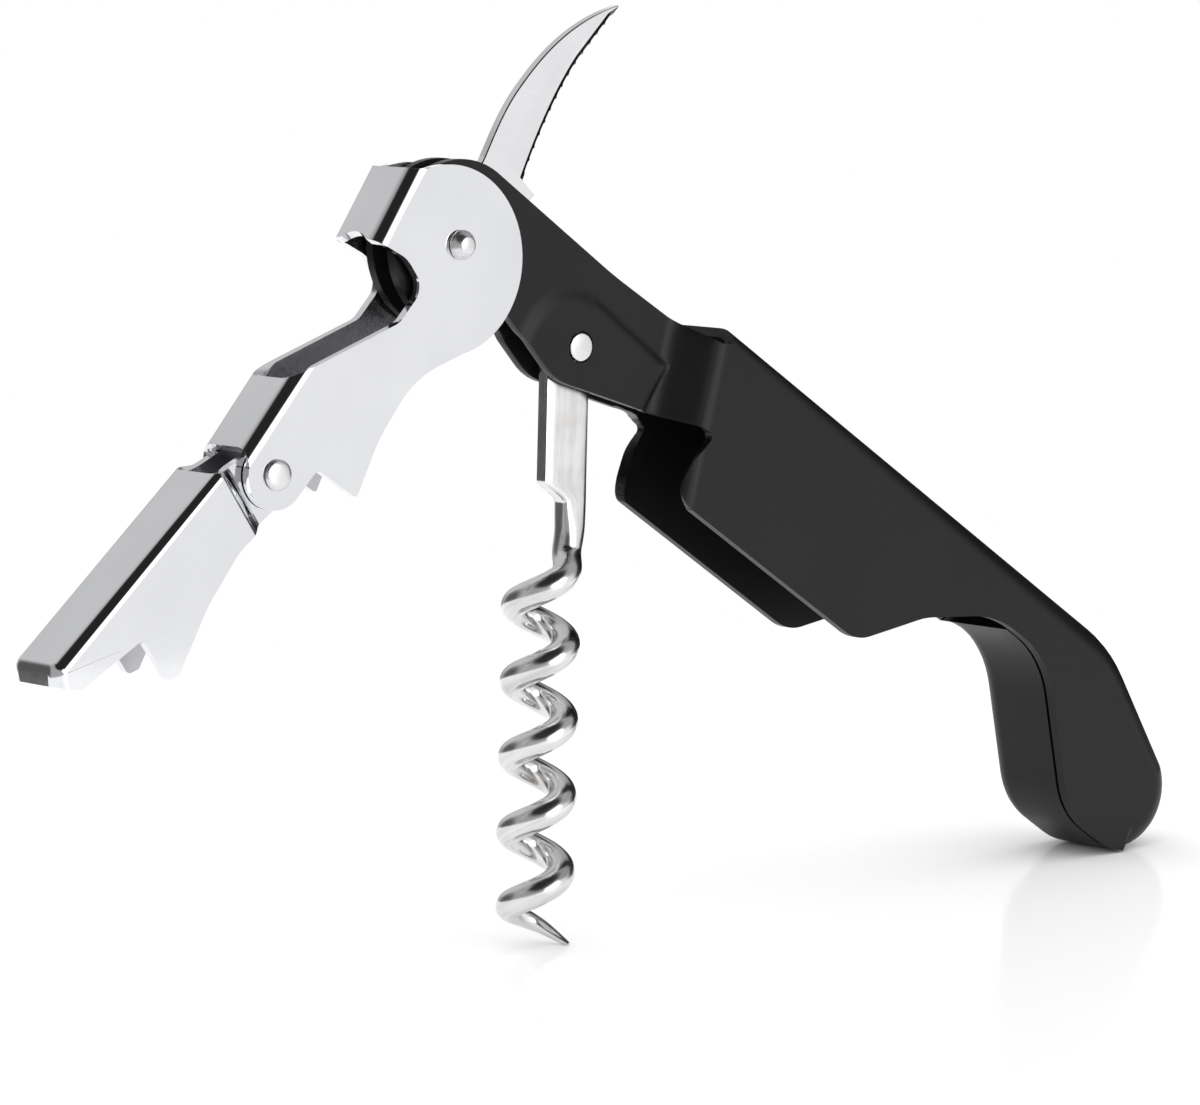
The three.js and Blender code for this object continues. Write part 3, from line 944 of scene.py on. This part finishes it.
@dataclass
class Worm:
    """The worm: a flat shank that narrows into round wire, wound as a right-hand coil."""

    angle: float = -93.3
    shank_half: float = 2.6
    shank_thickness: float = 1.7
    shank_length: float = 12.8
    wire_radius: float = 1.42
    coil_radius: float = 2.49
    pitch: float = 7.43
    turns: float = 5.18
    set_back: float = 1.9
    side_shift: float = 0.4
    lead_in: float = 7.5
    first_side: float = 12.6
    start_angle: float = 345.0
    ease: float = 1.5
    settle: float = 17.5
    notch: Point = (13.1, 15.3)
    straight_tip: float = 1.2
    entry_angle: float = 140.0
    settle_length: float = 4.0
    rounding: Point = (13.0, 21.0)
    tip_length: float = 4.2
    tip_share: float = 0.14
    neck_start: float = 12.1
    neck_step: float = 0.16
    neck_count: int = 25
    coil_step: float = 0.2
    grain_scale: float = 0.035
    round_points: int = 28
    place: Matrix = field(init=False)

    def __post_init__(self) -> None:
        """Works out the worm's frame from its joint."""
        self.place = piece_frame(pivot_of("worm_fold"), self.angle)

    @property
    def end(self) -> float:
        """How far the wire's tip is below the pivot."""
        return self.shank_length + self.lead_in + self.pitch * self.turns

    def coil_point(self, x: float) -> Vector:
        """Returns a point on the coil's centre line, eased in at its start.

        Args:
            x: Distance below the worm's pivot, in millimetres.

        Returns:
            The point, in the worm's frame.
        """
        lead = self.pitch * (self.start_angle - self.entry_angle) / 360
        past = x - self.shank_length - self.first_side + lead
        run = past
        if past <= self.ease:
            run = max(0.0, past + self.ease) ** 2 / (4 * self.ease)
        turn = math.radians(self.start_angle - 360 * run / self.pitch)
        side = self.side_shift + self.coil_radius * math.sin(turn)
        return Vector((x, side, -self.set_back + self.coil_radius * math.cos(turn)))

    def centre(self, x: float) -> Vector:
        """Returns the middle of the steel at a distance below the pivot.

        Args:
            x: Distance below the worm's pivot, in millimetres.

        Returns:
            The point, in the worm's frame.
        """
        leave = self.end - self.straight_tip
        if x > leave:
            slope = (self.coil_point(leave) - self.coil_point(leave - 0.02)) / 0.02
            return self.coil_point(leave) + slope * (x - leave)
        neck = (self.shank_half - self.wire_radius) * smooth_step(x, *self.notch)
        blend = smooth_step(x, self.settle, self.settle + self.settle_length)
        return Vector((x, 0, neck)).lerp(self.coil_point(x), blend)

    def heading(self, x: float) -> Vector:
        """Returns the direction of the steel, which is straight down in the shank and neck."""
        course = (self.centre(x + 0.01) - self.centre(x - 0.01)).normalized()
        share = smooth_step(x, self.settle - 1, self.settle + 2)
        return Vector((1, 0, 0)).lerp(course, share).normalized()

    def section(self, x: float) -> tuple[float, float, float]:
        """Returns half the width and thickness of the steel and how square it is.

        Args:
            x: Distance below the worm's pivot, in millimetres.

        Returns:
            The half width, the half thickness and the power of the section's curve.
        """
        to_wire = smooth_step(x, *self.notch)
        flat = smooth_step(x, *self.rounding)
        left = min(1.0, max(0.0, (self.end - x) / self.tip_length))
        tip = self.tip_share + (1 - self.tip_share) * left ** 0.8
        half = self.shank_half + (self.wire_radius - self.shank_half) * to_wire
        thick = self.shank_thickness / 2 + (self.wire_radius - self.shank_thickness / 2) * flat
        return half * tip, thick * tip, 1 / (0.09 + 0.41 * flat)

    def stations(self) -> list[float]:
        """Returns the distances below the pivot at which the steel is drawn."""
        head = [-self.shank_half * math.cos(math.radians(a)) * 0.999 for a in range(2, 90, 8)]
        shank = [self.shank_length * i / 10 * 0.93 for i in range(11)]
        neck = [self.neck_start + self.neck_step * i for i in range(self.neck_count)]
        first = neck[-1] + self.coil_step
        count = int((self.end - first) / self.coil_step)
        coil = [first + (self.end - first) * i / count for i in range(count + 1)]
        return [*head, *shank, *neck, *coil]

    def ring(self, x: float, across: Vector, tangent: Vector) -> list[Vector]:
        """Returns the points round the steel at one station.

        Args:
            x: Distance below the worm's pivot, in millimetres.
            across: The direction of the thickness.
            tangent: The direction of the steel.

        Returns:
            The points, in order.
        """
        half, thick, square = self.section(x)
        if x < 0:
            half = math.sqrt(max(0.0, self.shank_half ** 2 - x * x))
        side = tangent.cross(across)
        points = []
        for i in range(self.round_points):
            a = 2 * math.pi * i / self.round_points
            c, s = math.cos(a), math.sin(a)
            size = (abs(c) ** square + abs(s) ** square) ** (-1 / square)
            points.append(self.centre(x) + side * (half * c * size) + across * (thick * s * size))
        return points

    def build(self) -> None:
        """Builds and dresses the worm."""
        bm = bmesh.new()
        grain = bm.verts.layers.float_vector.new("grain")
        loop = bmesh.ops.create_circle(bm, segments=self.round_points, radius=1)["verts"]
        edges = list({e for v in loop for e in v.link_edges})
        bmesh.ops.contextual_create(bm, geom=edges)
        across, before, travelled = Vector((0, 1, 0)), Vector((1, 0, 0)), 0.0
        last = None
        for x in self.stations():
            tangent = self.heading(x)
            across = before.rotation_difference(tangent) @ across
            across = (across - tangent * across.dot(tangent)).normalized()
            before = tangent
            centre = self.centre(x)
            travelled += (centre - last).length if last else 0.0
            if last is not None:
                grown = bmesh.ops.extrude_edge_only(bm, edges=edges)["geom"]
                edges = [g for g in grown if isinstance(g, BMEdge)]
                loop = next_loop(loop, edges)
            last = centre
            for i, (vert, spot) in enumerate(zip(loop, self.ring(x, across, tangent))):
                vert.co = spot
                a = 2 * math.pi * i / self.round_points
                vert[grain] = (math.cos(a), math.sin(a), travelled * self.grain_scale)
            edges = [e for e in edges if all(v in set(loop) for v in e.verts)]
        bmesh.ops.contextual_create(bm, geom=edges)
        bmesh.ops.recalc_face_normals(bm, faces=bm.faces[:])
        made = finish_mesh(bm, "worm_wire", self.place)
        bore(made, pivot_of("worm_fold"), PIN_BORE)
        made.data.set_sharp_from_angle(angle=math.radians(48))
        WIRE.dress(made)
        join_frame(made, "worm", "worm_steel", "worm")


# ------------------------------------------------------------------ foil knife


@dataclass
class FoilKnife:
    """The curved foil knife, with a hollow grind and a scalloped edge."""

    angle: float = 45.0
    length: float = 31.4
    thickness: float = 1.0
    boss_radius: float = 5.2
    neck: float = 9.0
    heel: float = 11.05
    heel_depth: float = 5.5
    scallops: int = 14
    scallop_depth: float = 0.24
    points_each: int = 10
    edge_band: float = 0.32
    grind: float = 0.42
    neck_height: float = 1.4
    back_rise: float = 1.5
    back_run: float = 8.5
    drop_start: float = 17.5
    drop: float = 3.7
    edge_level: float = 1.0
    edge_turn: float = 24.5
    edge_run: float = 13.4
    edge_slope: float = 0.03
    belly_depth: float = 2.8
    place: Matrix = field(init=False)

    def __post_init__(self) -> None:
        """Works out the knife's frame from its joint."""
        self.place = piece_frame(pivot_of("knife_fold"), self.angle)

    def boss_height(self, x: float) -> float:
        """Returns half the height of the round boss at a distance from the pivot."""
        return math.sqrt(max(0.0, self.boss_radius ** 2 - min(x, 0.0) ** 2))

    def grind_levels(self, room: float) -> Point:
        """Returns how far the edge band and the grind reach up a blade of some height."""
        return min(self.edge_band, 0.3 * room), min(self.edge_band + self.grind, 0.62 * room)

    def back_height(self, x: float) -> float:
        """Returns the height of the knife's back at a distance from the pivot.

        Args:
            x: Distance from the knife's pivot, in millimetres.

        Returns:
            The height, in the knife's frame.
        """
        boss = self.boss_height(x)
        if x < 0:
            return boss
        if x < self.neck:
            return boss + (self.neck_height - boss) * smooth_step(x, 0, self.neck)
        climb = min(1.0, (x - self.neck) / self.back_run)
        rise = self.neck_height + self.back_rise * math.sin(math.pi / 2 * climb) ** 1.1
        fall = max(0.0, (x - self.drop_start) / (self.length - self.drop_start))
        return rise - self.drop * fall ** 2.4

    def edge_height(self, x: float) -> float:
        """Returns the height of the cutting edge, or of the boss behind it.

        Args:
            x: Distance from the knife's pivot, in millimetres.

        Returns:
            The height, in the knife's frame.
        """
        if x < self.heel:
            deeper = (self.heel_depth - self.boss_radius) * smooth_step(x, 0, self.heel)
            return -self.boss_height(x) - deeper
        belly = max(0.0, self.edge_turn - x) / self.edge_run
        past = max(0.0, x - self.edge_turn)
        return -self.edge_level - self.belly_depth * belly ** 1.6 - self.edge_slope * past

    def bite(self, x: float) -> float:
        """Returns how deep the scallops bite at a distance from the pivot.

        Args:
            x: Distance from the knife's pivot, in millimetres.

        Returns:
            The depth, in millimetres.
        """
        start, end = self.heel + 0.9, self.length - 0.9
        share = (x - start) / (end - start) * self.scallops
        if not 0 < share < self.scallops:
            return 0.0
        return self.scallop_depth * math.sin(math.pi * (share % 1.0)) ** 0.8

    def stations(self) -> list[float]:
        """Returns the distances from the pivot at which the section is drawn."""
        boss = [-self.boss_radius * math.cos(math.radians(a)) for a in range(4, 91, 6)]
        arm = [i * self.heel / 18 for i in range(1, 18)]
        count = self.scallops * self.points_each + 14
        start = self.heel + 0.02
        blade = [start + (self.length - start) * i / count for i in range(count + 1)]
        return [*boss, *arm, self.heel - 0.02, *blade]

    def section(self, x: float) -> list[tuple[float, float]]:
        """Returns the ring of the section at one station, as (y, z) points.

        Args:
            x: Distance from the knife's pivot, in millimetres.

        Returns:
            The points, in order.
        """
        half = self.thickness / 2
        back, edge = self.back_height(x), self.edge_height(x)
        room = back - edge
        ground = x >= self.heel
        lip = min(0.1, 0.2 * room)
        if ground:
            edge += self.bite(x)
            hollow, line = self.grind_levels(room)
            steps = [
                (half, line + 0.05), (half * 0.97, line), (half * 0.5, hollow),
                (half * 0.46, hollow - 0.04), (0.05, 0.0),
            ]
            base = self.edge_height(x)
            levels = [(y, base + up if up else edge) for y, up in steps]
        else:
            levels = [(half, edge + i * lip) for i in (4, 3, 2, 1)] + [(half - lip, edge)]
        near = [(half - lip, back), (half, back - lip), (half, (back + levels[0][1]) / 2), *levels]
        return [(-y, z) for y, z in near] + [(y, z) for y, z in reversed(near)]

    def paint_grind_shade(self, made: bpy.types.Object) -> None:
        """Marks where the finish paints shade on the blade, as the ground attribute: 1.0 on the
        hollow grind and 0.6 on the edge band below it.
        """
        ground = made.data.attributes.new("ground", "FLOAT", "POINT")
        back_to_piece = self.place.inverted()
        for vert, mark in zip(made.data.vertices, ground.data):
            x, _, z = back_to_piece @ vert.co
            room = self.back_height(x) - self.edge_height(x)
            hollow, line = self.grind_levels(room)
            up = z - self.edge_height(x)
            if x > self.heel and up < line + 0.01:
                # Painted shade: 1.0 on the grind, 0.6 on the edge band.
                mark.value = 1.0 if up > hollow - 0.01 else 0.6

    def build(self) -> None:
        """Builds and dresses the knife."""
        bm = bmesh.new()
        spots = self.stations()
        around = len(self.section(spots[0]))
        loop = bmesh.ops.create_circle(bm, segments=around, radius=1)["verts"]
        edges = list({e for v in loop for e in v.link_edges})
        bmesh.ops.contextual_create(bm, geom=edges)
        for index, x in enumerate(spots):
            if index:
                grown = bmesh.ops.extrude_edge_only(bm, edges=edges)["geom"]
                edges = [g for g in grown if isinstance(g, BMEdge)]
                loop = next_loop(loop, edges)
            ring = self.section(x)
            for vert, (y, z) in zip(loop, ring):
                vert.co = (x, y, z)
        bmesh.ops.contextual_create(bm, geom=edges)
        bmesh.ops.recalc_face_normals(bm, faces=bm.faces[:])
        made = finish_mesh(bm, "knife_blade", self.place)
        bore(made, pivot_of("knife_fold"), PIN_BORE)
        # Marks the painted shade of the grind and edge band.
        self.paint_grind_shade(made)
        made.data.set_sharp_from_angle(angle=math.radians(20))
        BLADE_STEEL.dress(made)
        join_frame(made, "foil_knife", "blade_steel", "foil_knife")


# ------------------------------------------------------------------ rivets and washers


@dataclass
class Rivet:
    """A rivet, from half of its profile: radius and distance from the middle plane."""

    name: str
    node: str
    body: str
    joint: str
    profile: list[Point]

    def build(self) -> None:
        """Builds and dresses the rivet."""
        bm = bmesh.new()
        full = [(r, -y) for r, y in reversed(self.profile)] + list(self.profile)
        verts = [bm.verts.new((r, y, 0)) for r, y in full]
        edges = [bm.edges.new(pair) for pair in zip(verts, verts[1:])]
        bmesh.ops.spin(
            bm, geom=verts + edges, cent=(0, 0, 0), axis=(0, 1, 0), dvec=(0, 0, 0),
            angle=2 * math.pi, steps=48, use_merge=True, use_duplicate=False,
        )
        bmesh.ops.remove_doubles(bm, verts=bm.verts[:], dist=SAME)
        bmesh.ops.recalc_face_normals(bm, faces=bm.faces[:])
        made = finish_mesh(bm, self.name, piece_frame(pivot_of(self.joint), 0))
        soften(made, 0.08, 2, 30)
        RIVET_STEEL.dress(made)
        join_frame(made, self.body, "rivet_steel", self.node)


HEAD_RIVET = [
    (1.25, 3.7), (1.42, 3.7), (1.44, 3.95), (1.36, 4.2),
    (1.0, 4.62), (0.84, 4.76), (0.74, 4.8), (0, 4.8),
]
WORM_RIVET = [(1.25, 2.2), (1.39, 2.32), (1.39, 2.55), (1.3, 2.64), (0, 2.65)]
LEVER_RIVET = [
    (1.25, 3.7), (1.48, 3.7), (1.49, 3.86), (1.4, 4.0), (1.05, 4.14), (0.5, 4.19), (0, 4.2),
]


def build_rivets() -> None:
    """Builds the three rivets."""
    Rivet("head_rivet_pin", "head_rivet", "handle", "lever_fold", HEAD_RIVET).build()
    Rivet("worm_rivet_pin", "worm_rivet", "handle", "worm_fold", WORM_RIVET).build()
    Rivet("lever_rivet_pin", "lever_rivet", "upper_lever", "lower_lever_hinge", LEVER_RIVET).build()


def dress_washers() -> None:
    """Gives the washers, which keep their CAD shape, their brass."""
    for name, node in frame["nodes"].items():
        if "washer" in name:
            SHIM.dress(node)
            LOG.info("%s: CAD shape, dressed", name)


# ------------------------------------------------------------------ studio


def way(azimuth: float, elevation: float) -> Vector:
    """Returns a direction from two angles in degrees; azimuth 0 is -Y and 90 is +X."""
    a, e = math.radians(azimuth), math.radians(elevation)
    return Vector((math.sin(a) * math.cos(e), -math.cos(a) * math.cos(e), math.sin(e)))


@dataclass(frozen=True)
class Glow:
    """One soft patch of the studio, by the direction that it is seen in."""

    azimuth: float
    elevation: float
    core: float
    rim: float
    level: float

    def direction(self) -> Vector:
        """Returns the way to the patch."""
        return way(self.azimuth, self.elevation)


@dataclass
class Studio:
    """White sweep, soft dome and camera."""

    floor_radius: float = 0.2
    floor_white: float = 0.93
    floor_gloss: float = 0.12
    gloss_roughness: float = 0.12
    dome_level: float = 1.35
    base_level: float = 0.4
    glows: list[Glow] = field(default_factory=lambda: [
        Glow(40, -8, 14, 34, 0.93),
        Glow(50, -24, 5, 16, 1.25),
        Glow(8, 12, 13, 27, 3.2),
        Glow(-25, 54, 30, 46, 0.02),
        Glow(180, 42, 20, 50, 0.62),
        Glow(-140, 0, 16, 40, 0.1),
        Glow(104, -4, 26, 40, 0.03),
        Glow(142, 12, 6, 12, 1.1),
    ])
    lens: float = 174.6
    distance: float = 0.5706
    azimuth: float = -40.0
    elevation: float = 7.6
    roll: float = 1.2
    target: Vector = field(default_factory=lambda: Vector((0, 0, 0)))

    def floor(self) -> None:
        """Builds the floor."""
        bm = bmesh.new()
        bmesh.ops.create_circle(bm, cap_ends=True, segments=96, radius=self.floor_radius / MM)
        made = finish_mesh(bm, "studio_floor", Matrix.Scale(MM, 4))
        finish = bpy.data.materials.new("studio_floor")
        finish.use_nodes = True
        shop = Shop(finish.node_tree)
        white = {"Color": (*(self.floor_white,) * 3, 1)}
        matt = shop.node("ShaderNodeBsdfDiffuse", {}, white)
        clear = {"Color": (1, 1, 1, 1), "Roughness": self.gloss_roughness}
        gloss = shop.node("ShaderNodeBsdfGlossy", {}, clear)
        surface = shop.node("ShaderNodeMixShader", {}, {0: self.floor_gloss, 1: matt, 2: gloss})
        shop.node("ShaderNodeOutputMaterial", {}, {"Surface": surface})
        made.data.materials.append(finish)

    def dome(self) -> None:
        """Lights the scene by a dome: plain for soft light, patched for what shines."""
        world = bpy.data.worlds.new("studio")
        world.use_nodes = True
        bpy.context.scene.world = world
        shop = Shop(world.node_tree)
        look = shop.node("ShaderNodeTexCoord", out="Generated")
        level: Socket | float = self.base_level
        for glow in self.glows:
            inputs = {0: look, 1: glow.direction()}
            dot = {"operation": "DOT_PRODUCT"}
            facing = shop.node("ShaderNodeVectorMath", dot, inputs, out="Value")
            rim, core = math.cos(math.radians(glow.rim)), math.cos(math.radians(glow.core))
            settings = {"interpolation_type": "SMOOTHSTEP"}
            ends = {"Value": facing, 1: rim, 2: core, 3: 0, 4: 1}
            share = shop.node("ShaderNodeMapRange", settings, ends)
            level = level * (1 - share) + share * glow.level
        camera = shop.node("ShaderNodeLightPath", out="Is Camera Ray")
        diffuse = shop.node("ShaderNodeLightPath", out="Is Diffuse Ray")
        level = level * (1 - diffuse) + diffuse * self.dome_level
        level = level * (1 - camera) + camera * 1.0
        sky = shop.node("ShaderNodeBackground", {}, {"Color": (1, 1, 1, 1), "Strength": level})
        shop.node("ShaderNodeOutputWorld", {}, {"Surface": sky})

    def camera(self) -> None:
        """Sets the camera."""
        a, e, r = (math.radians(d) for d in (self.azimuth, self.elevation, self.roll))
        back = way(self.azimuth, self.elevation)
        level = Vector((math.cos(a), math.sin(a), 0))
        upright = Vector((-math.sin(a) * math.sin(e), math.cos(a) * math.sin(e), math.cos(e)))
        right = level * math.cos(r) - upright * math.sin(r)
        up = level * math.sin(r) + upright * math.cos(r)
        data = bpy.data.cameras.new("camera")
        data.lens = self.lens
        data.sensor_width = 36
        data.clip_start, data.clip_end = 0.01, 50
        made = bpy.data.objects.new("camera", data)
        turn = Matrix((right, up, back)).transposed().to_4x4()
        made.matrix_world = Matrix.Translation(self.target + back * self.distance) @ turn
        bpy.context.scene.collection.objects.link(made)
        bpy.context.scene.camera = made

    def build(self) -> None:
        """Builds the studio."""
        self.floor()
        self.dome()
        self.camera()
        bpy.context.scene.view_settings.view_transform = "Standard"
        LOG.info("studio: floor, dome and camera")


def main() -> None:
    """Builds the corkscrew and its studio."""
    logging.basicConfig(level=logging.INFO, format="%(name)s: %(message)s")
    Handle().build()
    UpperLever().build()
    LowerLever().build()
    Worm().build()
    FoilKnife().build()
    build_rivets()
    dress_washers()
    head = pivot_of("lever_fold")
    Studio(target=head - Vector(TARGET_OFFSET)).build()


if __name__ == "__main__":
    main()
